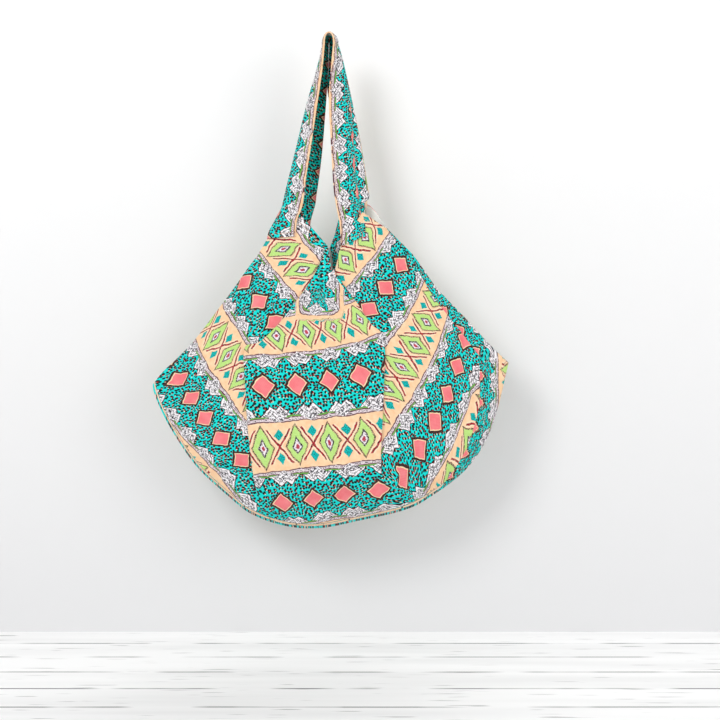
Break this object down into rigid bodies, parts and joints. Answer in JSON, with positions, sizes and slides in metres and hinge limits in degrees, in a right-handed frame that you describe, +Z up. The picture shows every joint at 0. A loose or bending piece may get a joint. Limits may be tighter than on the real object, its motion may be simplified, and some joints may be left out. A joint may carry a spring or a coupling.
{
  "type": "hobo shoulder bag",
  "caption": "Slouchy printed-cotton hobo shoulder bag with a wide one-piece strap, pleated front and back panels, an open V-shaped mouth and a white lining, hanging from a peg.",
  "frame": {"origin": "the point under the top of the strap's fold where the strap bears on its peg", "axes": "+Z is up along the hanging strap, +X is to the right seen from the front, and the front panel faces -Y"},
  "size_m": [0.5052, 0.1181, 0.7013],
  "materials": {
    "printed_cotton_front": "matt plain-weave cotton printed with bands of small diamonds and zigzags in teal, peach, coral and lime",
    "printed_cotton_back": "the same printed cotton, cut from another place in the print",
    "printed_cotton_strap": "the same printed cotton, doubled, with the bands running along the strap",
    "white_cotton": "plain white cotton lining, matt"
  },
  "bodies": {
    "root": {"front_panel": "printed_cotton_front", "back_panel": "printed_cotton_back", "lining": "white_cotton", "shoulder_strap": "printed_cotton_strap"}
  },
  "joints": []
}
